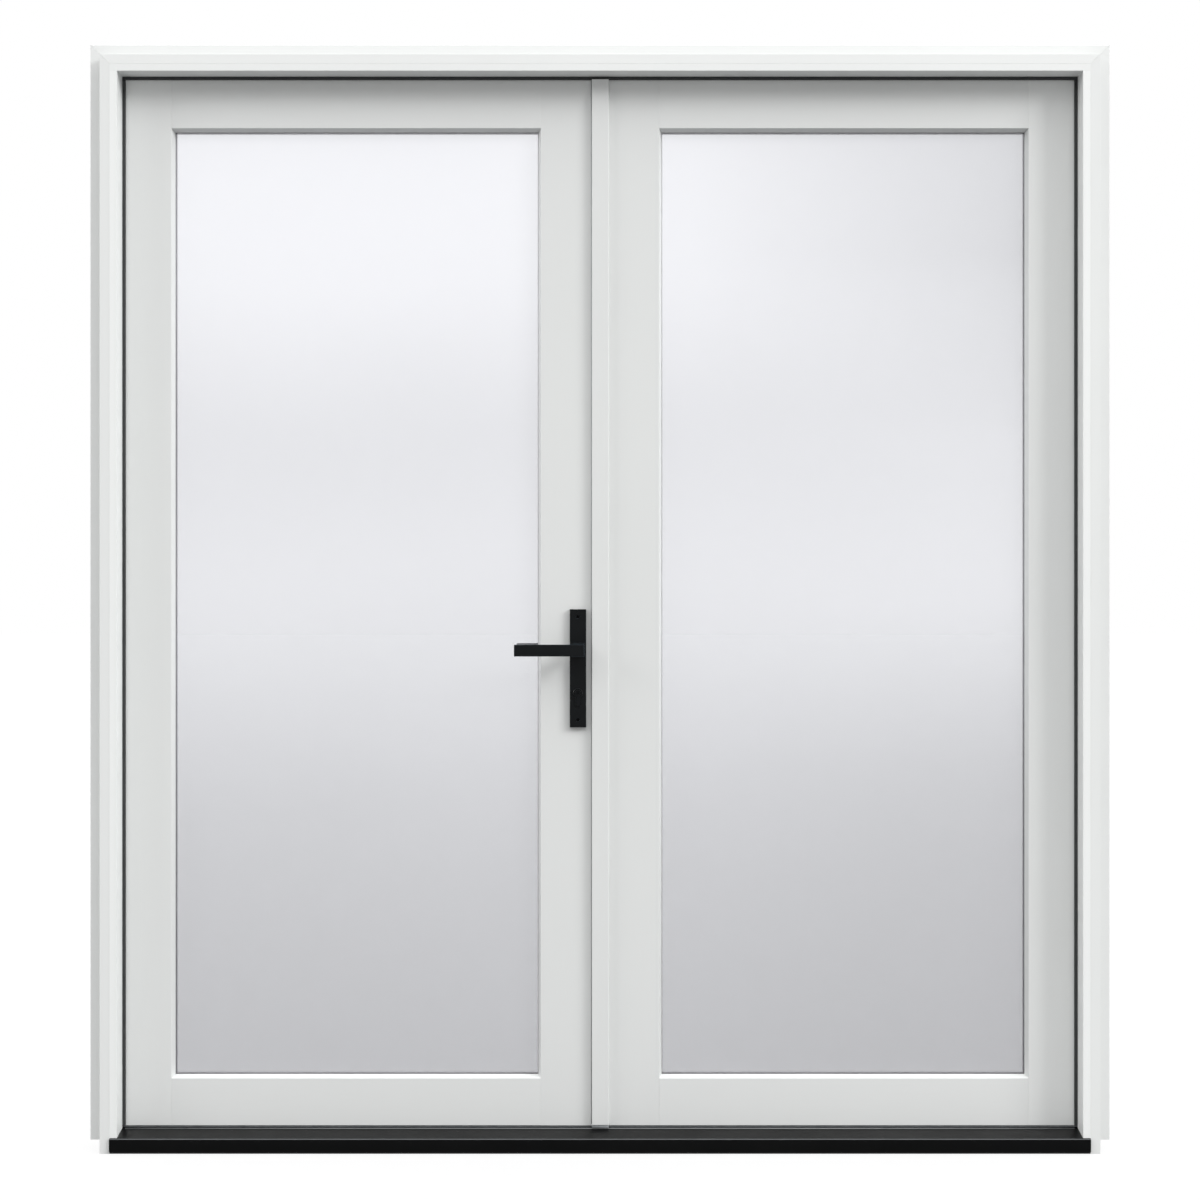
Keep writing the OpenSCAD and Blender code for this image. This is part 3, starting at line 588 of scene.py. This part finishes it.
# The foot of the post's flange, with three wiping fins
FIN_CLEAR = 0.6 * MM     # from the sill to the tips
FIN_ROOT = 1.6 * MM      # and to the ground between them
FOOT_CORNER = 1.1 * MM
FIN_FIRST, FIN_PITCH = 0.5 * MM, 3.0 * MM
FIN_STEPS = (1.2 * MM, 1.6 * MM, 2.4 * MM)
FINS = 3
pad_low, pad_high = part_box("astragal_pad")
tips, roots = pan_top + FIN_CLEAR, pan_top + FIN_ROOT
foot = [(pad_low.y, pad_high.z), (pad_low.y, pan_top + FOOT_CORNER)]
for k in range(FINS):
    fin_y = pad_low.y + FIN_FIRST + k * FIN_PITCH
    foot += [(fin_y, tips), (fin_y + FIN_STEPS[0], tips), (fin_y + FIN_STEPS[1], roots)]
    foot.append((fin_y + FIN_STEPS[2], roots) if k < FINS - 1 else (pad_high.y, roots))
foot.append((pad_high.y, pad_high.z))
foot_mesh = drawn_out("astragal_foot", foot, pad_low.x, pad_high.x, 0)
astragal_foot = piece("astragal_foot", foot_mesh, "passive_leaf", "grey_rubber")
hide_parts("astragal_pad")

# The lip of the post's seal, which shows beside its flange
LIP_OUT = 1.1 * MM
LIP_IN = 0.5 * MM
LIP_R = 0.5 * MM
LIP_FRONT, LIP_BACK = 0.1 * MM, 0.2 * MM
seal_low, seal_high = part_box("astragal_seal")
post_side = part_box("astragal")[0].x
lip = rounded(post_side - LIP_OUT, seal_low.x + LIP_IN, seal_low.y + LIP_FRONT, seal_high.y - LIP_BACK, LIP_R)
lip_mesh = drawn_out("astragal_lip", lip, seal_low.z, seal_high.z, 2)
piece("astragal_lip", lip_mesh, "passive_leaf", "grey_rubber")


# ---- Stage ----

ROOM_LOW = 0.42              # how bright the room is at the horizon
ROOM_HIGH = 2.8              # and overhead
ROOM_RISE = (0.3, 0.95)      # between which heights of a direction it brightens
RIGHT_BIAS = 0.15            # how much brighter it is on the +X side
AIM = (0, 0, 1.0)
FLOOR_GLOW = 0.85            # with what the floor reflects, this is as white as the backdrop
FLOOR_SEEN = 0.09            # how much it reflects where it is seen
FLOOR_UNSEEN = 0.19          # and towards the object
FLOOR_HALF = 60

# Name, place, size in metres and power in watts
LAMPS = (
    ("key", (9.4, -5.0, 6.6), (4.2, 3.8), 780),
    ("left_fill", (-10.4, -4.2, 5.1), (4.0, 3.5), 280),
    ("back_fill", (-2.2, 4.6, 3.4), (2.5, 2.0), 60),
)


def lamp(name, at, size, power):
    """A soft rectangular lamp that the camera doesn't see, directly or through glass."""
    data = bpy.data.lights.new(name, "AREA")
    data.energy = power
    data.shape = "RECTANGLE"
    data.size, data.size_y = size
    made = bpy.data.objects.new(name, data)
    made.location = at
    made.rotation_euler = (Vector(AIM) - Vector(at)).to_track_quat("-Z", "Y").to_euler()
    made.visible_camera = False
    made.visible_transmission = False
    scene.collection.objects.link(made)


def sky():
    """White behind the object, and a soft room that is brighter overhead for light and gloss."""
    world = bpy.data.worlds.new("studio")
    scene.world = world
    world.use_nodes = True
    t = Tree(world.node_tree)
    axes = t.split(t.node("ShaderNodeTexCoord").outputs["Generated"])
    high = t.spread(axes[2], ROOM_LOW, ROOM_HIGH, *ROOM_RISE, soft=True)
    level = t.maths("MULTIPLY", high, t.maths("ADD", t.maths("MULTIPLY", axes[0], RIGHT_BIAS), 1.0))
    room, white = t.node("ShaderNodeBackground"), t.node("ShaderNodeBackground")
    for background, strength in ((room, level), (white, 1.0)):
        t.feed(background.inputs["Color"], grey(1))
        t.feed(background.inputs["Strength"], strength)
    surface = t.switch(t.node("ShaderNodeLightPath"), SEEN_RAYS, room.outputs[0], white.outputs[0])
    t.feed(t.node("ShaderNodeOutputWorld").inputs["Surface"], surface)


def floor():
    """A plain pale floor that looks nearly white and gives little light back."""
    made, t = material("floor_pale")
    glow, both = t.node("ShaderNodeEmission"), t.node("ShaderNodeAddShader")
    pale, dim = t.node("ShaderNodeBsdfDiffuse"), t.node("ShaderNodeBsdfDiffuse")
    t.feed(glow.inputs["Strength"], FLOOR_GLOW)
    t.feed(pale.inputs["Color"], grey(FLOOR_SEEN))
    t.feed(dim.inputs["Color"], grey(FLOOR_UNSEEN))
    t.feed(both.inputs[0], glow.outputs[0])
    t.feed(both.inputs[1], pale.outputs[0])
    t.finish(t.switch(t.node("ShaderNodeLightPath"), SEEN_RAYS, dim.outputs[0], both.outputs[0]))
    mesh = bpy.data.meshes.new("floor")
    h = FLOOR_HALF
    mesh.from_pydata([(-h, -h, 0), (h, -h, 0), (h, h, 0), (-h, h, 0)], [], [(0, 1, 2, 3)])
    mesh.materials.append(made)
    obj = bpy.data.objects.new("floor", mesh)
    scene.collection.objects.link(obj)


sky()
floor()
for name, at, size, power in LAMPS:
    lamp(name, at, size, power)
